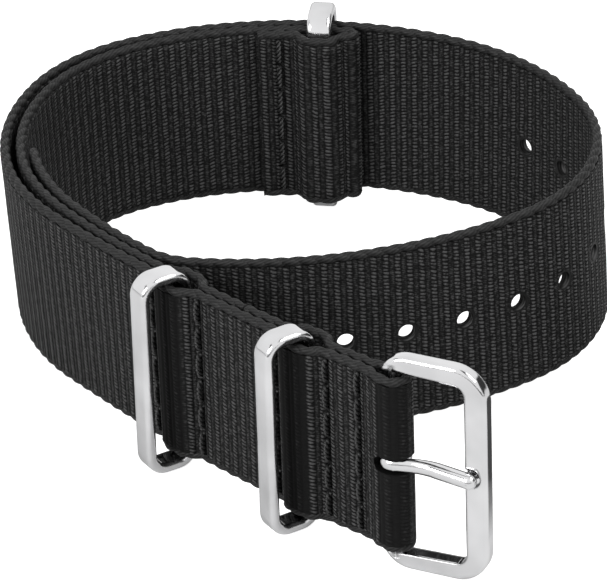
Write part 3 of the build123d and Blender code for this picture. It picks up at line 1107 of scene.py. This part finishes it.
class STRAP_OT_metalwork(bpy.types.Operator):
    """Polish the buckle, its pin and tongue, and the three rings"""

    bl_idname = "strap.metalwork"
    bl_label = "Metalwork"

    def execute(self, context):
        steel = polished_steel(context.scene.strap_metal)
        names = ("buckle_frame", "buckle_pin", "buckle_tongue", "keeper_1", "keeper_2", "end_ring")
        for name in names:
            for place_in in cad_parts[name].material_slots:
                place_in.material = steel
        return {"FINISHED"}


LAMP_AIM = (0.0, 0.0, 0.01)

# Dark cards: name, middle in metres, turns about X and then Z in degrees, and size in metres
DARK_CARDS = (
    ("right_card", (0.4, 0.1, 0.12), (-90.0, 90.0), (0.7, 0.24)),
    ("high_card", (0.12, -0.12, 0.45), (180.0, 0.0), (0.14, 0.4)),
    ("left_card", (-0.34, -0.06, 0.3), (135.0, 90.0), (0.4, 0.1)),
    ("low_card", (0.055, -0.018, 0.0004), (0.0, 0.0), (0.06, 0.06)),
    ("front_card", (-0.1, -0.4, 0.02), (90.0, 0.0), (0.9, 0.1)),
)
CARD_TONE = 0.02
CARD_EDGE_STEEPNESS = 2.5

# Floor: how far it reaches, the grey that the metal and the camera see, and the camera's glow
FLOOR_REACH = 3.0
FLOOR_SEEN_TONE = 0.8
FLOOR_GLOW = 0.9


def add_lamp(name, power, size, position, aim):
    data = bpy.data.lights.new(name, "AREA")
    data.energy = power
    data.shape = "RECTANGLE"
    data.size, data.size_y = size
    lamp = add_object(name, data)
    turn = (Vector(aim) - Vector(position)).to_track_quat("-Z", "Y")
    lamp.matrix_world = Matrix.Translation(position) @ turn.to_matrix().to_4x4()
    return lamp


def flat_corners(wide, high):
    """The corners of a level rectangle, from its half width and half height."""
    return [(-wide, -high, 0), (wide, -high, 0), (wide, high, 0), (-wide, high, 0)]


class STRAP_OT_stage(bpy.types.Operator):
    """Set the pale floor, the soft lamps, the white surround and the camera"""

    bl_idname = "strap.stage"
    bl_label = "Stage"

    def execute(self, context):
        settings = context.scene.strap_stage
        self.add_floor(settings)
        self.add_surround(settings)
        add_lamp("key_lamp", settings.key_power, (0.35, 0.35), (0.3, -0.15, 0.5), LAMP_AIM)
        add_lamp("fill_lamp", settings.fill_power, (0.3, 0.3), (-0.4, -0.3, 0.3), LAMP_AIM)
        for name, position, turns, size in DARK_CARDS:
            self.add_dark_card(name, position, turns, size)
        self.add_camera()
        context.scene.view_settings.view_transform = "Standard"
        return {"FINISHED"}

    def add_floor(self, settings):
        mesh = bpy.data.meshes.new("floor")
        mesh.from_pydata(flat_corners(FLOOR_REACH, FLOOR_REACH), [], [(0, 1, 2, 3)])
        floor = add_object("floor", mesh)
        made, root, shader = new_material("pale_floor")
        seen = self.seen_directly(root)
        looked_at = root.node("ShaderNodeLightPath", {}, {}, 0)
        floor_tones = grey(settings.floor_tone), grey(FLOOR_SEEN_TONE)
        feed(root, shader, Base_Color=seen.between(*floor_tones))
        shader.inputs["Roughness"].default_value = 1.0
        shader.inputs["Specular IOR Level"].default_value = 0.0
        plain = Signal(root.tree, shader.outputs[0])
        glow = seen.node("ShaderNodeEmission", {}, {"Color": grey(1.0), "Strength": FLOOR_GLOW})
        joined = seen.node("ShaderNodeAddShader", {}, {0: plain, 1: glow})
        chosen = seen.node("ShaderNodeMixShader", {}, {0: looked_at, 1: plain, 2: joined})
        output = next(node for node in root.tree.nodes if node.type == "OUTPUT_MATERIAL")
        root.tree.links.new(chosen.socket, output.inputs["Surface"])
        mesh.materials.append(made)

    def add_dark_card(self, name, position, turns, size):
        """A dark card with soft edges, that only the polished metal sees."""
        mesh = bpy.data.meshes.new(name)
        mesh.from_pydata(flat_corners(size[0] / 2, size[1] / 2), [], [(0, 1, 2, 3)])
        card = add_object(name, mesh)
        tilt = Matrix.Rotation(math.radians(turns[0]), 4, "X")
        turn = Matrix.Rotation(math.radians(turns[1]), 4, "Z")
        card.matrix_world = Matrix.Translation(position) @ turn @ tilt
        made, root, shader = new_material(name)
        shader.inputs["Base Color"].default_value = grey(CARD_TONE)
        place_on = root.node("ShaderNodeTexCoord", {}, {}, 0)
        soft = [
            root.node("ShaderNodeSeparateXYZ", {}, {0: place_on}, side).dome(0.5, 0.5).clamped()
            for side in range(2)
        ]
        feed(root, shader, Alpha=(soft[0] * soft[1] * CARD_EDGE_STEEPNESS).clamped())
        mesh.materials.append(made)
        card.visible_camera = False
        card.visible_diffuse = False
        card.visible_shadow = False
        card.visible_transmission = False

    @staticmethod
    def seen_directly(root):
        """1 for camera, glossy and transmission rays."""
        kinds = [root.node("ShaderNodeLightPath", {}, {}, name) for name in (0, 3, 6)]
        return kinds[0].highest(kinds[1]).highest(kinds[2])

    def add_surround(self, settings):
        world = bpy.data.worlds.new("surround")
        world.use_nodes = True
        bpy.context.scene.world = world
        tree = world.node_tree
        root = Signal(tree)
        back = next(node for node in tree.nodes if node.type == "BACKGROUND")
        level = self.seen_directly(root) * (1 - settings.sky_level) + settings.sky_level
        tree.links.new(level.socket, back.inputs["Strength"])
        back.inputs["Color"].default_value = grey(1.0)

    def add_camera(self):
        data = bpy.data.cameras.new("camera")
        data.lens = CAMERA_LENS
        data.sensor_width = CAMERA_SENSOR
        data.sensor_fit = "HORIZONTAL"
        data.clip_start = 0.01
        camera = add_object("camera", data)
        tilt = Matrix.Rotation(math.radians(90 - CAMERA_ELEVATION), 4, "X")
        roll = Matrix.Rotation(math.radians(CAMERA_ROLL), 4, "Z")
        turn = tilt @ roll
        half_width = bpy.context.scene.strap_webbing.width / 2
        aim = Vector((PLAN_SHIFT.real * MM, PLAN_SHIFT.imag * MM, MID_HEIGHT * MM - half_width))
        position = aim + turn.to_3x3() @ (Vector(CAMERA_OFFSET) * MM)
        camera.matrix_world = Matrix.Translation(position) @ turn
        bpy.context.scene.camera = camera


OPERATORS = (
    STRAP_OT_long_strap,
    STRAP_OT_short_strap,
    STRAP_OT_seams,
    STRAP_OT_metalwork,
    STRAP_OT_stage,
)


class STRAP_PT_panel(bpy.types.Panel):
    """Lists the pieces and the settings of the watch strap"""

    bl_label = "Watch Strap"
    bl_idname = "STRAP_PT_panel"
    bl_space_type = "VIEW_3D"
    bl_region_type = "UI"
    bl_category = "Watch Strap"

    def draw(self, context):
        for operator in OPERATORS:
            self.layout.operator(operator.bl_idname)
        for group in SETTINGS:
            box = self.layout.box()
            for name in SETTINGS[group].__annotations__:
                box.prop(getattr(context.scene, group), name)


SETTINGS = {
    "strap_webbing": WebbingSettings,
    "strap_seams": SeamSettings,
    "strap_metal": MetalSettings,
    "strap_stage": StageSettings,
}


def register():
    for made in (*SETTINGS.values(), *OPERATORS, STRAP_PT_panel):
        bpy.utils.register_class(made)
    for name, group in SETTINGS.items():
        setattr(bpy.types.Scene, name, bpy.props.PointerProperty(type=group))


def unregister():
    for name in SETTINGS:
        delattr(bpy.types.Scene, name)
    for made in reversed((*SETTINGS.values(), *OPERATORS, STRAP_PT_panel)):
        bpy.utils.unregister_class(made)


def main():
    register()
    bpy.ops.strap.long_strap()
    bpy.ops.strap.short_strap()
    bpy.ops.strap.seams()
    bpy.ops.strap.metalwork()
    bpy.ops.strap.stage()


if __name__ == "__main__":
    main()
